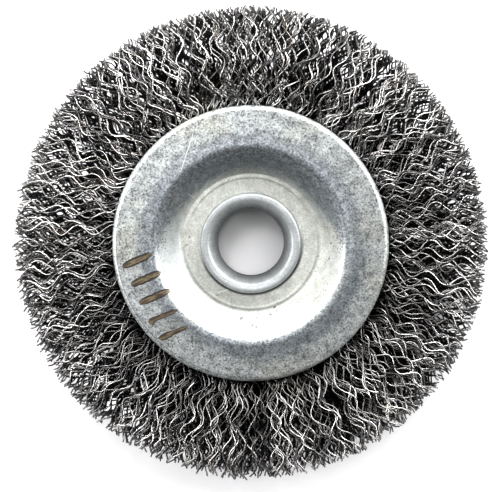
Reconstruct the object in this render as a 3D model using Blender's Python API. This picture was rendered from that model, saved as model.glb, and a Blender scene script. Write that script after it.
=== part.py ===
"""Crimped wire wheel brush: two dished plates clamped by a flared hub eyelet, with hanks of
crimped steel wire folded over a retaining ring between them, each parting into strands.

Metres, +Z along the bore towards the front. The origin is the middle of the bore.
"""

import math
import random

import bmesh
import bpy

MM = 0.001

# Whole wheel
WHEEL_DIAMETER = 115 * MM
FACE_WIDTH = 16 * MM
CLEARANCE = 0.3 * MM

# Plates. Heights are measured from the middle of the wheel to the side that shows.
PLATE_DIAMETER = 67 * MM
PLATE_THICKNESS = 1.0 * MM
SHOULDER_DIAMETER = 46.8 * MM
SHOULDER_HEIGHT = 7.5 * MM
DISH_FLOOR_DIAMETER = 34.2 * MM
RIM_SLOPE = math.radians(8)
EDGE_DEPTH = 1.9 * MM
FLOOR_FILLET = 0.8 * MM
SHOULDER_FILLET = 2.6 * MM
EDGE_FILLET = 1.2 * MM
PLATE_SEGMENTS = 48

# Hub eyelet
BORE_DIAMETER = 16 * MM
EYELET_WALL = 1.0 * MM
LIP_DIAMETER = 24 * MM
LIP_HEIGHT = 1.8 * MM
LIP_DROP = 0.35 * MM
SEAT_DIAMETER = 20.4 * MM
SEAT_WIDTH = 0.9 * MM
THROAT_LENGTH = 1.8 * MM
FUNNEL_FILLET = 2.0 * MM
SEAT_FILLET = 0.8 * MM
LIP_FILLET = 0.6 * MM
EYELET_SEGMENTS = 40

# Retaining ring, which the wires are folded over
RING_DIAMETER = 46 * MM
RING_WIRE = 2.5 * MM
RING_SEGMENTS = 36
RING_SIDES = 6

# Hanks of crimped wire. The bends of a strand are half a crimp apart.
HANK_COUNT = 36
LEG_THICKNESS = 1.8 * MM
STRAND_WIDTH = 2.3 * MM
TIP_WIDTH = 2.9 * MM
CRIMP_LENGTH = 9.4 * MM
CRIMP_DEPTH = 1.2 * MM
FIRST_SWING = 0.4
SWING_GROWTH = 0.3
SWING_SPREAD = 0.2
STRAND_TURN = math.radians(30)
STRAND_STRETCH = 1.5
MIDDLE_STRETCH = 1.7
STRAND_WAVER = 0.5 * MM
FLARE_LENGTH = 13 * MM
TIP_WEAR = 1.1 * MM
FOLD_STEPS = 6
CRIMP_SEED = 7

FRONT = 1
MIDDLE = 0
REAR = -1

# Where the strands stand in their hank, as shares of its width
LEFT_SHARE = 0.25
MIDDLE_SHARE = 0.5
RIGHT_SHARE = 0.75

# Corners of an even-sided triangle, in the order of a root's: left, right, inner
TRIANGLE = [math.radians(angle) for angle in (150, 30, 270)]


def clear_scene():
    for obj in list(bpy.data.objects):
        bpy.data.objects.remove(obj, do_unlink=True)


def metal(name, colour, roughness, metallic):
    """A plain metal finish."""
    finish = bpy.data.materials.new(name)
    finish.use_nodes = True
    shader = finish.node_tree.nodes["Principled BSDF"]
    shader.inputs["Base Color"].default_value = (*colour, 1.0)
    shader.inputs["Roughness"].default_value = roughness
    shader.inputs["Metallic"].default_value = metallic
    return finish


def add_object(name, shape, finish, sharp_angle):
    """Turns a bmesh into an object, with its faces out and its curves shaded smooth."""
    bmesh.ops.recalc_face_normals(shape, faces=shape.faces[:])
    mesh = bpy.data.meshes.new(name)
    shape.to_mesh(mesh)
    shape.free()
    mesh.shade_smooth()
    mesh.set_sharp_from_angle(angle=sharp_angle)
    mesh.materials.append(finish)
    obj = bpy.data.objects.new(name, mesh)
    bpy.context.scene.collection.objects.link(obj)
    return obj


def unit(x, y):
    length = math.hypot(x, y)
    return x / length, y / length


def offset_corners(corners, distance):
    """The same outline moved sideways, to the right of its direction, by distance."""
    lines = []
    for (x0, y0), (x1, y1) in zip(corners, corners[1:]):
        dx, dy = unit(x1 - x0, y1 - y0)
        lines.append((x0 + dy * distance, y0 - dx * distance, dx, dy))
    first = lines[0][:2]
    x0, y0 = corners[-1]
    last = (x0 + lines[-1][3] * distance, y0 - lines[-1][2] * distance)
    moved = [first]
    for (ax, ay, adx, ady), (bx, by, bdx, bdy) in zip(lines, lines[1:]):
        along = ((bx - ax) * bdy - (by - ay) * bdx) / (adx * bdy - ady * bdx)
        moved.append((ax + adx * along, ay + ady * along))
    moved.append(last)
    return moved


def rounded(corners, fillets):
    """An outline through corners, each turned into an arc. fillets holds (radius, steps) for
    every corner but the two ends, and no steps leaves the corner sharp."""
    outline = [corners[0]]
    for before, corner, after, (radius, steps) in zip(
        corners, corners[1:], corners[2:], fillets
    ):
        if not steps:
            outline.append(corner)
            continue
        ix, iy = unit(before[0] - corner[0], before[1] - corner[1])
        ox, oy = unit(after[0] - corner[0], after[1] - corner[1])
        half = math.acos(max(-1.0, min(1.0, ix * ox + iy * oy))) / 2
        reach = radius / math.tan(half)
        mx, my = unit(ix + ox, iy + oy)
        cx = corner[0] + mx * radius / math.sin(half)
        cy = corner[1] + my * radius / math.sin(half)
        start = math.atan2(corner[1] + iy * reach - cy, corner[0] + ix * reach - cx)
        end = math.atan2(corner[1] + oy * reach - cy, corner[0] + ox * reach - cx)
        turn = (end - start + math.pi) % (2 * math.pi) - math.pi
        for step in range(steps + 1):
            angle = start + turn * step / steps
            outline.append((cx + radius * math.cos(angle), cy + radius * math.sin(angle)))
    outline.append(corners[-1])
    return outline


def turned(name, outline, segments, finish):
    """A closed outline of (radius, height) points, spun once round the bore's axis."""
    shape = bmesh.new()
    points = [shape.verts.new((radius, 0.0, height)) for radius, height in outline]
    edges = [shape.edges.new(pair) for pair in zip(points, points[1:] + points[:1])]
    bmesh.ops.spin(
        shape,
        geom=points + edges,
        cent=(0.0, 0.0, 0.0),
        axis=(0.0, 0.0, 1.0),
        angle=2 * math.pi,
        steps=segments,
        use_merge=True,
    )
    return add_object(name, shape, finish, math.radians(50))


# Plate: floor, dish wall, sloping rim, and an edge rolled down over the wires
FLOOR_HEIGHT = PLATE_THICKNESS + CLEARANCE / 2
RIM_HEIGHT = SHOULDER_HEIGHT - (PLATE_DIAMETER - SHOULDER_DIAMETER) / 2 * math.tan(RIM_SLOPE)
EDGE_HEIGHT = RIM_HEIGHT - EDGE_DEPTH
TUBE_DIAMETER = BORE_DIAMETER + 2 * EYELET_WALL
HOLE_DIAMETER = TUBE_DIAMETER + 2 * CLEARANCE


def plate_outline():
    """The plate's section: the side that shows from hole to edge, then back along the inside."""
    shown = [
        (HOLE_DIAMETER / 2, FLOOR_HEIGHT),
        (DISH_FLOOR_DIAMETER / 2, FLOOR_HEIGHT),
        (SHOULDER_DIAMETER / 2, SHOULDER_HEIGHT),
        (PLATE_DIAMETER / 2, RIM_HEIGHT),
        (PLATE_DIAMETER / 2, EDGE_HEIGHT),
    ]
    inside = offset_corners(shown, PLATE_THICKNESS)
    top = rounded(shown, [(FLOOR_FILLET, 1), (SHOULDER_FILLET, 3), (EDGE_FILLET, 3)])
    under = rounded(
        inside,
        [
            (FLOOR_FILLET + PLATE_THICKNESS, 1),
            (SHOULDER_FILLET - PLATE_THICKNESS, 1),
            (max(EDGE_FILLET - PLATE_THICKNESS, CLEARANCE / 2), 1),
        ],
    )
    return top + under[::-1]


def make_plate(name, side, finish):
    outline = [(radius, side * height) for radius, height in plate_outline()]
    return turned(name, outline, PLATE_SEGMENTS, finish)


# Hub eyelet: a tube through both plates, flared at both ends into a funnel and a rounded lip
LIP_UNDERSIDE = FLOOR_HEIGHT + CLEARANCE
SEAT_HEIGHT = LIP_UNDERSIDE + LIP_HEIGHT


def make_eyelet(finish):
    half = rounded(
        [
            (BORE_DIAMETER / 2, 0.0),
            (BORE_DIAMETER / 2, THROAT_LENGTH / 2),
            (SEAT_DIAMETER / 2, SEAT_HEIGHT),
            (SEAT_DIAMETER / 2 + SEAT_WIDTH, SEAT_HEIGHT),
            (LIP_DIAMETER / 2, SEAT_HEIGHT - LIP_DROP),
            (LIP_DIAMETER / 2, LIP_UNDERSIDE),
            (TUBE_DIAMETER / 2, LIP_UNDERSIDE),
            (TUBE_DIAMETER / 2, 0.0),
        ],
        [(FUNNEL_FILLET, 2), (SEAT_FILLET, 2), (0, 0), (LIP_FILLET, 2), (0, 0), (0, 0)],
    )[1:-1]
    rear = [(radius, -height) for radius, height in reversed(half)]
    return turned("hub_eyelet", half + rear, EYELET_SEGMENTS, finish)


def make_ring(finish):
    outline = []
    for side in range(RING_SIDES):
        angle = 2 * math.pi * side / RING_SIDES
        radius = RING_DIAMETER / 2 + RING_WIRE / 2 * math.cos(angle)
        outline.append((radius, RING_WIRE / 2 * math.sin(angle)))
    return turned("retaining_ring", outline, RING_SEGMENTS, finish)


# Hanks: each is a loop round the ring. Its two legs close up into a collar between the plates,
# which parts into five crimped strands: two in front, one in the middle and two behind.
FOLD_INNER = RING_WIRE / 2 + CLEARANCE
FOLD_OUTER = FOLD_INNER + LEG_THICKNESS
CROTCH_RADIUS = RING_DIAMETER / 2 + 2 * FOLD_INNER
MERGE_RADIUS = CROTCH_RADIUS + FOLD_INNER
GRIP_HEIGHT = EDGE_HEIGHT - CLEARANCE
PITCH = 2 * math.pi / HANK_COUNT
COLLAR_STEPS = 2


def spaced(start, end, count):
    return [start + (end - start) * step / count for step in range(count + 1)]


def bend_radii():
    """Where the strands bend, from the plates' edge to the tips, about half a crimp apart."""
    length = (WHEEL_DIAMETER - PLATE_DIAMETER) / 2
    return spaced(PLATE_DIAMETER / 2, WHEEL_DIAMETER / 2, max(2, round(2 * length / CRIMP_LENGTH)))


def half_width(radius):
    """Half of the wires' thickness at a radius: gripped by the plates, then flaring out."""
    spread = (radius - PLATE_DIAMETER / 2) / FLARE_LENGTH
    spread = max(0.0, min(1.0, spread))
    return GRIP_HEIGHT + (FACE_WIDTH / 2 - GRIP_HEIGHT) * math.sin(spread * math.pi / 2)


def crimp_wave(radii, dice):
    """Sideways shift at each bend along the line between two hanks, growing outwards."""
    side = dice.choice((-1, 1))
    wave = [0.0]
    for bend in range(1, len(radii)):
        grown = min(1.0, FIRST_SWING + SWING_GROWTH * (bend - 1))
        wave.append(side * CRIMP_DEPTH * grown * dice.uniform(1 - SWING_SPREAD, 1))
        side = -side
    return wave


def point(shape, radius, angle, shift, height):
    """A vertex at a polar place, moved sideways by shift."""
    angle += shift / radius
    return shape.verts.new((radius * math.cos(angle), radius * math.sin(angle), height))


def strand_section(layer, width, top):
    """The section's corners, in the order of the root's: a diamond in the middle of the wheel, and
    elsewhere a triangle turned so that one corner stands out to the side that shows."""
    if layer == MIDDLE:
        across, depth = width / 2, width / 2 * MIDDLE_STRETCH
        return (0.0, depth), (across, 0.0), (0.0, -depth), (-across, 0.0)
    reach = width / math.sqrt(3)
    angles = [angle + STRAND_TURN for angle in TRIANGLE]
    peak = max(math.sin(angle) for angle in angles)
    return [
        (reach * math.cos(angle), layer * (top - (peak - math.sin(angle)) * reach * STRAND_STRETCH))
        for angle in angles
    ]


def make_strand(shape, number, root, layer, place, waves, radii, dice):
    """One strand from its root on the collar to its worn tip. place is its share of the hank's
    width, and its section at every bend has one corner for each corner of the root."""
    left_wave, right_wave = waves[layer][number], waves[layer][(number + 1) % HANK_COUNT]
    mirror = -1 if place == RIGHT_SHARE else 1
    waver = dice.uniform(0.0, STRAND_WAVER)
    wear = dice.uniform(0.0, TIP_WEAR)
    loops = [root]
    for bend in range(1, len(radii)):
        grown = bend / (len(radii) - 1)
        width = STRAND_WIDTH + (TIP_WIDTH - STRAND_WIDTH) * grown
        radius = radii[bend] - (wear if bend == len(radii) - 1 else 0.0)
        shift = left_wave[bend] * (1 - place) + right_wave[bend] * place
        section = strand_section(layer, width, half_width(radius) - waver)
        angle = (number + place) * PITCH
        loops.append([point(shape, radius, angle, shift + mirror * x, z) for x, z in section])
    skin(shape, loops)
    shape.faces.new(loops[-1])


def plain_loop(shape, number, radius, height):
    """A four-cornered section of the bundle, inside the plates."""
    left, right = number * PITCH, (number + 1) * PITCH
    gap = CLEARANCE / 2
    return [
        point(shape, radius, left, gap, height),
        point(shape, radius, right, -gap, height),
        point(shape, radius, right, -gap, -height),
        point(shape, radius, left, gap, -height),
    ]


def fold_loops(shape, number):
    """Four points for each step of the fold round the ring, from the front leg to the rear."""
    left, right = number * PITCH, (number + 1) * PITCH
    gap = CLEARANCE / 2
    inner_reach = FOLD_INNER / math.cos(math.pi / FOLD_STEPS)
    loops = []
    for step in range(1, FOLD_STEPS):
        turn = 2 * math.pi * step / FOLD_STEPS
        outer = RING_DIAMETER / 2 + FOLD_OUTER * math.cos(turn)
        inner = RING_DIAMETER / 2 + inner_reach * math.cos(turn)
        outer_height = FOLD_OUTER * math.sin(turn)
        inner_height = inner_reach * math.sin(turn)
        loops.append(
            [
                point(shape, outer, left, gap, outer_height),
                point(shape, outer, right, -gap, outer_height),
                point(shape, inner, right, -gap, inner_height),
                point(shape, inner, left, gap, inner_height),
            ]
        )
    return loops


def skin(shape, loops):
    """Quads between one section and the next."""
    for loop, following in zip(loops, loops[1:]):
        for side in range(len(loop)):
            ahead = (side + 1) % len(loop)
            shape.faces.new((loop[side], loop[ahead], following[ahead], following[side]))


def close_fold(shape, fold, collar, crotch):
    """Joins the fold's two legs to the bundle's first section, round the crotch between them."""
    front_left, front_right, rear_right, rear_left = collar
    crotch_left, crotch_right = crotch
    out_left, out_right, in_right, in_left = fold[0]
    shape.faces.new((front_left, front_right, out_right, out_left))
    shape.faces.new((front_right, crotch_right, in_right, out_right))
    shape.faces.new((crotch_right, crotch_left, in_left, in_right))
    shape.faces.new((crotch_left, front_left, out_left, in_left))
    out_left, out_right, in_right, in_left = fold[-1]
    shape.faces.new((rear_right, rear_left, out_left, out_right))
    shape.faces.new((rear_left, crotch_left, in_left, out_left))
    shape.faces.new((crotch_left, crotch_right, in_right, in_left))
    shape.faces.new((crotch_right, rear_right, out_right, in_right))
    shape.faces.new((front_left, crotch_left, rear_left))
    shape.faces.new((front_right, crotch_right, rear_right))


def part_collar(shape, number, last):
    """Walls from the last plain section to the plates' edge, where the end splits into the roots
    of the strands. Gives each root with its strand's layer and its share of the width."""
    front_left, front_right, rear_right, rear_left = last

    def corner(share, height):
        shift = CLEARANCE / 2 * (1 - 2 * share)
        return point(shape, PLATE_DIAMETER / 2, (number + share) * PITCH, shift, height)

    front = [corner(share, GRIP_HEIGHT) for share in (0.0, MIDDLE_SHARE, 1.0)]
    rear = [corner(share, -GRIP_HEIGHT) for share in (0.0, MIDDLE_SHARE, 1.0)]
    left, right = corner(LEFT_SHARE, 0.0), corner(RIGHT_SHARE, 0.0)
    shape.faces.new([front_left, front_right] + front[::-1])
    shape.faces.new([rear_right, rear_left] + rear)
    shape.faces.new((front_right, rear_right, rear[2], front[2]))
    shape.faces.new((rear_left, front_left, front[0], rear[0]))
    shape.faces.new((front[0], left, rear[0]))
    shape.faces.new((front[2], rear[2], right))
    return [
        ((front[0], front[1], left), FRONT, LEFT_SHARE),
        ((front[2], front[1], right), FRONT, RIGHT_SHARE),
        ((front[1], right, rear[1], left), MIDDLE, MIDDLE_SHARE),
        ((rear[0], rear[1], left), REAR, LEFT_SHARE),
        ((rear[2], rear[1], right), REAR, RIGHT_SHARE),
    ]


def make_hank(number, waves, radii, dice, finish):
    shape = bmesh.new()
    fold = fold_loops(shape, number)
    gap = CLEARANCE / 2
    crotch = (
        point(shape, CROTCH_RADIUS, number * PITCH, gap, 0.0),
        point(shape, CROTCH_RADIUS, (number + 1) * PITCH, -gap, 0.0),
    )
    collar = [
        plain_loop(shape, number, radius, GRIP_HEIGHT - CLEARANCE)
        for radius in spaced(MERGE_RADIUS, PLATE_DIAMETER / 2, COLLAR_STEPS)[:-1]
    ]
    skin(shape, fold)
    close_fold(shape, fold, collar[0], crotch)
    skin(shape, collar)
    for root, layer, place in part_collar(shape, number, collar[-1]):
        make_strand(shape, number, root, layer, place, waves, radii, dice)
    return add_object(f"wire_hank_{number + 1:02d}", shape, finish, math.radians(25))


def build():
    clear_scene()
    galvanised = metal("galvanised plate", (0.60, 0.62, 0.60), 0.45, 0.85)
    zinc = metal("zinc eyelet", (0.66, 0.68, 0.70), 0.32, 0.95)
    wire = metal("crimped wire", (0.17, 0.17, 0.17), 0.38, 0.90)

    make_plate("front_plate", FRONT, galvanised)
    make_plate("rear_plate", REAR, galvanised)
    make_eyelet(zinc)
    make_ring(wire)

    dice = random.Random(CRIMP_SEED)
    radii = bend_radii()
    waves = {
        layer: [crimp_wave(radii, dice) for _ in range(HANK_COUNT)]
        for layer in (FRONT, MIDDLE, REAR)
    }
    for number in range(HANK_COUNT):
        make_hank(number, waves, radii, dice, wire)


build()
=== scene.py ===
# Crimped wire wheel brush: two dished zinc plates, a flared hub eyelet and hanks of crimped steel wire.
# Metres, +Z along the bore. The wheel lies on a white table and the camera looks down on it.
import math

import bpy
import numpy as np
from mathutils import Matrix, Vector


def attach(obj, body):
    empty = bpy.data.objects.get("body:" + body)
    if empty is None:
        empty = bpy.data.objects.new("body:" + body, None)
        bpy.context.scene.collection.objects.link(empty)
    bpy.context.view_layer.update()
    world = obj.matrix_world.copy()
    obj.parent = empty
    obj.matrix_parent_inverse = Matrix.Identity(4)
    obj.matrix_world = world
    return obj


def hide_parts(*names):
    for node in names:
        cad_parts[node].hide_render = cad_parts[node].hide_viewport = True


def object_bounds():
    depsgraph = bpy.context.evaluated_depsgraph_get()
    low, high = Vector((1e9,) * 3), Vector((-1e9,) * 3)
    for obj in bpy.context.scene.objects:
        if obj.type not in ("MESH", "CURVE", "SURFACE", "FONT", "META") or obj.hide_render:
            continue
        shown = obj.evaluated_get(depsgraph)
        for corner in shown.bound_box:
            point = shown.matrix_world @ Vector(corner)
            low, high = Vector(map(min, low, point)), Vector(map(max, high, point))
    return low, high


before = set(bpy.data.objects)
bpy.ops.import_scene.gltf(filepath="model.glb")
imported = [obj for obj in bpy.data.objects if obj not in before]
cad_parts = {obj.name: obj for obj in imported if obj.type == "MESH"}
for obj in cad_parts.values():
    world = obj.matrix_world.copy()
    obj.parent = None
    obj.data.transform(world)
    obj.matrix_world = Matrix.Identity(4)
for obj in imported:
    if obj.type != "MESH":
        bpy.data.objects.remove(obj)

mm = 0.001
arcStep = math.radians(9)  # how finely an outline's rounded corners are drawn
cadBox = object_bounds()


# Shader helpers

def addNode(tree, kind, inputs=None, **settings):
    # one node: settings are its own options, inputs are values or other nodes' sockets
    node = tree.nodes.new(kind)
    for name, value in settings.items():
        setattr(node, name, value)
    for name, value in (inputs or {}).items():
        if isinstance(value, bpy.types.NodeSocket):
            tree.links.new(value, node.inputs[name])
        else:
            node.inputs[name].default_value = value
    return node


def calc(tree, operation, *values):
    # a Math node's result
    return addNode(tree, "ShaderNodeMath", dict(enumerate(values)), operation=operation).outputs[0]


def product(tree, first, *others):
    for other in others:
        first = calc(tree, "MULTIPLY", first, other)
    return first


def total(tree, first, *others):
    for other in others:
        first = calc(tree, "ADD", first, other)
    return first


def toneBy(tree, value, swing):
    # a tone around 1: 1 + value * swing
    return calc(tree, "MULTIPLY_ADD", value, swing, 1.0)


def fade(tree, value, low, high, start=0.0, end=1.0):
    # value eased from start to end as it goes from low to high; low may be the larger one
    inputs = {"Value": value, "From Min": low, "From Max": high, "To Min": start, "To Max": end}
    return addNode(tree, "ShaderNodeMapRange", inputs, interpolation_type="SMOOTHSTEP").outputs[0]


def fadeMm(tree, value, low, high, start=0.0, end=1.0):
    # fade, with low and high in millimetres
    return fade(tree, value, low * mm, high * mm, start, end)


def noise(tree, place, scale, detail, roughness=0.5):
    # a cloudy pattern around 0.5; scale is its patches in a metre
    inputs = {"Vector": place, "Scale": scale, "Detail": detail, "Roughness": roughness}
    return addNode(tree, "ShaderNodeTexNoise", inputs).outputs[0]


def vectorCalc(tree, operation, *values, output="Vector"):
    # a Vector Math node's result
    node = addNode(tree, "ShaderNodeVectorMath", dict(enumerate(values)), operation=operation)
    return node.outputs[output]


def distanceFrom(tree, place, centre):
    return vectorCalc(tree, "DISTANCE", place, centre, output="Value")


def turnPlace(tree, place, angle):
    # place turned round Z
    inputs = {"Vector": place, "Angle": angle}
    return addNode(tree, "ShaderNodeVectorRotate", inputs, rotation_type="Z_AXIS").outputs[0]


def splitPlace(tree, place):
    # x, y and z
    return addNode(tree, "ShaderNodeSeparateXYZ", {0: place}).outputs


def planRadius(tree, part):
    # distance from the bore's axis: sqrt(x^2 + y^2)
    return calc(tree, "SQRT", total(tree, *[calc(tree, "POWER", part[axis], 2.0) for axis in (0, 1)]))


def reachTowards(tree, part, degrees):
    # how far out a point lies in one direction: x cos + y sin
    turn = math.radians(degrees)
    return total(tree, product(tree, part[0], math.cos(turn)), product(tree, part[1], math.sin(turn)))


def blendColour(tree, share, first, second, mode="MIX"):
    # colours are other nodes' sockets, or red, green and blue
    node = addNode(tree, "ShaderNodeMix", {0: share}, data_type="RGBA", blend_type=mode)
    for socket, value in ((node.inputs[6], first), (node.inputs[7], second)):
        if isinstance(value, bpy.types.NodeSocket):
            tree.links.new(value, socket)
        else:
            socket.default_value = (*value, 1.0)
    return node.outputs[2]


def newGroup(name, inputs, outputs):
    # an empty node group; inputs are (name, socket kind, default), outputs are (name, socket kind)
    tree = bpy.data.node_groups.new(name, "ShaderNodeTree")
    for label, kind, value in inputs:
        socket = tree.interface.new_socket(label, in_out="INPUT", socket_type="NodeSocket" + kind)
        if value is not None:
            socket.default_value = value
    for label, kind in outputs:
        tree.interface.new_socket(label, in_out="OUTPUT", socket_type="NodeSocket" + kind)
    return tree, addNode(tree, "NodeGroupInput").outputs, addNode(tree, "NodeGroupOutput").inputs


def useGroup(tree, group, inputs):
    return addNode(tree, "ShaderNodeGroup", inputs, node_tree=group).outputs


def newMetal(name, colour, roughness, metallic=1.0):
    material = bpy.data.materials.new(name)
    material.use_nodes = True
    shader = material.node_tree.nodes["Principled BSDF"]
    shader.inputs["Base Color"].default_value = (*colour, 1.0)
    shader.inputs["Roughness"].default_value = roughness
    shader.inputs["Metallic"].default_value = metallic
    place = addNode(material.node_tree, "ShaderNodeTexCoord").outputs["Object"]
    return material, material.node_tree, shader, place


def linkTo(tree, shader, **sockets):
    for name, value in sockets.items():
        tree.links.new(value, shader.inputs[name.replace("_", " ")])


# Shared finishes

grainLook = {
    "cloudScale": 0.22, "cloudWeight": 0.35, "speckleWeight": 0.65, "swing": 5.0, "roughSwing": -0.06,
}

# border is where a stroke fades out, 1 being its edge; outline is its dark border's width in millimetres
strokeLook = {
    "ragScale": 1400.0, "rag": 1.1, "border": (1.12, 0.88), "outline": 0.44, "outlineLimit": 2.2,
}


def makeGrainGroup():
    # mottled metal: coarse cloud + fine speckle, as a tone around 1, a roughness offset and a height
    look = grainLook
    tree, given, result = newGroup(
        "mottled metal",
        [("Vector", "Vector", None), ("Size", "Float", 0.001), ("Contrast", "Float", 0.1)],
        [("Tone", "Float"), ("Rough", "Float"), ("Height", "Float")],
    )
    perMetre = calc(tree, "DIVIDE", 1.0, given["Size"])
    cloud = noise(tree, given["Vector"], product(tree, perMetre, look["cloudScale"]), detail=3.0)
    speckle = noise(tree, given["Vector"], perMetre, detail=4.0, roughness=0.7)
    mixed = total(tree, product(tree, cloud, look["cloudWeight"]),
                  product(tree, speckle, look["speckleWeight"]))
    centred = product(tree, calc(tree, "SUBTRACT", mixed, 0.5), look["swing"])
    tree.links.new(toneBy(tree, centred, given["Contrast"]), result["Tone"])
    tree.links.new(product(tree, centred, look["roughSwing"]), result["Rough"])
    tree.links.new(mixed, result["Height"])
    return tree


def makeStrokeGroup():
    # a blunt stroke round a centre: inside (across / halfWidth)^2 + (along / halfLength)^4 = 1, its border
    # roughened by noise. Core is the same shape without the darker outline.
    look = strokeLook
    tree, given, result = newGroup(
        "blunt stroke",
        [("Vector", "Vector", None), ("Centre", "Vector", None), ("Angle", "Float", 0.0),
         ("Half Length", "Float", 0.004), ("Half Width", "Float", 0.0008), ("Outline", "Float", 0.00022)],
        [("Mask", "Float"), ("Core", "Float")],
    )

    def sharePower(value, whole, power):
        return calc(tree, "POWER", calc(tree, "ABSOLUTE", calc(tree, "DIVIDE", value, whole)), power)

    moved = vectorCalc(tree, "SUBTRACT", given["Vector"], given["Centre"])
    part = splitPlace(tree, turnPlace(tree, moved, product(tree, given["Angle"], -1.0)))
    along = sharePower(part[0], given["Half Length"], 4.0)
    rag = noise(tree, given["Vector"], look["ragScale"], detail=2.0)
    rag = product(tree, calc(tree, "SUBTRACT", rag, 0.5), look["rag"])
    coreWidth = calc(tree, "SUBTRACT", given["Half Width"], given["Outline"])
    for name, width in (("Mask", given["Half Width"]), ("Core", coreWidth)):
        reach = total(tree, along, sharePower(part[1], width, 2.0), rag)
        tree.links.new(fade(tree, reach, *look["border"]), result[name])
    return tree


grainGroup = makeGrainGroup()
strokeGroup = makeStrokeGroup()
print("shared finishes ready")


def mottle(tree, place, look):
    # the mottled metal at a piece's own size and contrast
    return useGroup(tree, grainGroup, {
        "Vector": place, "Size": look["mottleSize"] * mm, "Contrast": look["mottleContrast"],
    })


def finishMetal(tree, shader, grain, look, colour):
    rough = total(tree, grain["Rough"], look["roughness"])
    bump = addNode(tree, "ShaderNodeBump", {
        "Strength": look["mottleBump"], "Distance": look["mottleRelief"] * mm, "Height": grain["Height"],
    })
    linkTo(tree, shader, Base_Color=colour, Roughness=rough, Normal=bump.outputs[0])


# Mesh helpers

def meshPiece(name, points, faces, material):
    # points is (n, 3); faces is a list of index arrays, one array for each number of corners
    mesh = bpy.data.meshes.new(name)
    mesh.vertices.add(len(points))
    mesh.vertices.foreach_set("co", points.astype(np.float32).ravel())
    corners = np.concatenate([group.ravel() for group in faces])
    sizes = np.concatenate([np.full(len(group), group.shape[1]) for group in faces])
    mesh.loops.add(len(corners))
    mesh.polygons.add(len(sizes))
    mesh.polygons.foreach_set("loop_start", np.concatenate([[0], np.cumsum(sizes)[:-1]]).astype(np.int32))
    mesh.polygons.foreach_set("vertices", corners.astype(np.int32))
    mesh.polygons.foreach_set("use_smooth", np.full(len(sizes), True))
    mesh.update(calc_edges=True)
    mesh.validate()
    mesh.materials.append(material)
    piece = bpy.data.objects.new(name, mesh)
    bpy.context.scene.collection.objects.link(piece)
    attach(piece, "root")
    return piece


def roundedOutline(corners, fillets, lineStep):
    # straight lines between corners; each inner corner with a fillet becomes an arc that touches both
    # lines, its centre on the corner's bisector at fillet / sin(half the corner's angle)
    corners = np.array(corners, dtype=float)
    runs, start = [], corners[0]
    for before, corner, after, fillet in zip(corners, corners[1:], corners[2:], fillets):
        back = (before - corner) / np.linalg.norm(before - corner)
        ahead = (after - corner) / np.linalg.norm(after - corner)
        half = math.acos(np.clip(back @ ahead, -1, 1)) / 2
        reach = fillet / math.tan(half)
        bisector = (back + ahead) / np.linalg.norm(back + ahead)
        centre = corner + bisector * fillet / math.sin(half)
        first, last = corner + back * reach, corner + ahead * reach
        runs.append(straightRun(start, first, lineStep))
        angle = math.atan2(*(first - centre)[::-1])
        turn = (math.atan2(*(last - centre)[::-1]) - angle + math.pi) % (2 * math.pi) - math.pi
        steps = angle + turn * np.linspace(0, 1, max(2, round(abs(turn) / arcStep)) + 1)[:-1]
        runs.append(centre + fillet * np.stack([np.cos(steps), np.sin(steps)], axis=1))
        start = last
    runs.append(straightRun(start, corners[-1], lineStep))
    runs.append(corners[-1:])
    return np.concatenate(runs)


def straightRun(start, end, step):
    # equal steps from start towards end, without the end itself
    count = max(1, round(np.linalg.norm(end - start) / step))
    return start + (end - start) * (np.arange(count) / count)[:, None]


def turnedPiece(name, outline, segments, material, ripple=None):
    # a closed outline spun round Z: point (i, j) = (radius_i cos a_j, radius_i sin a_j, height_i),
    # a_j = 2 pi j / segments. ripple(radius, angle) is added to the height.
    angle = 2 * math.pi * np.arange(segments) / segments
    radius = outline[:, 0:1]
    lift = ripple(radius, angle[None, :]) if ripple else 0.0
    height = outline[:, 1:2] + lift * np.ones_like(angle)
    points = np.stack([radius * np.cos(angle), radius * np.sin(angle), height], axis=2)
    rows, columns = np.meshgrid(np.arange(len(outline)), np.arange(segments), indexing="ij")
    nextRow, nextColumn = (rows + 1) % len(outline), (columns + 1) % segments
    corners = [rows * segments + columns, rows * segments + nextColumn,
               nextRow * segments + nextColumn, nextRow * segments + columns]
    following = np.roll(outline, -1, axis=0)
    signedArea = np.sum(outline[:, 0] * following[:, 1] - following[:, 0] * outline[:, 1])
    quads = np.stack(corners if signedArea > 0 else corners[::-1], axis=2).reshape(-1, 4)
    return meshPiece(name, points.reshape(-1, 3), [quads], material)


# Plates: stamped, dished and zinc plated. Radii and heights are those of the solids. Lengths are in
# millimetres, turns in degrees from +X, and a scale is a pattern's patches in a metre. A cut is the pair
# of levels between which a pattern fades in, and a name with Soft is the width of a fade.

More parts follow.
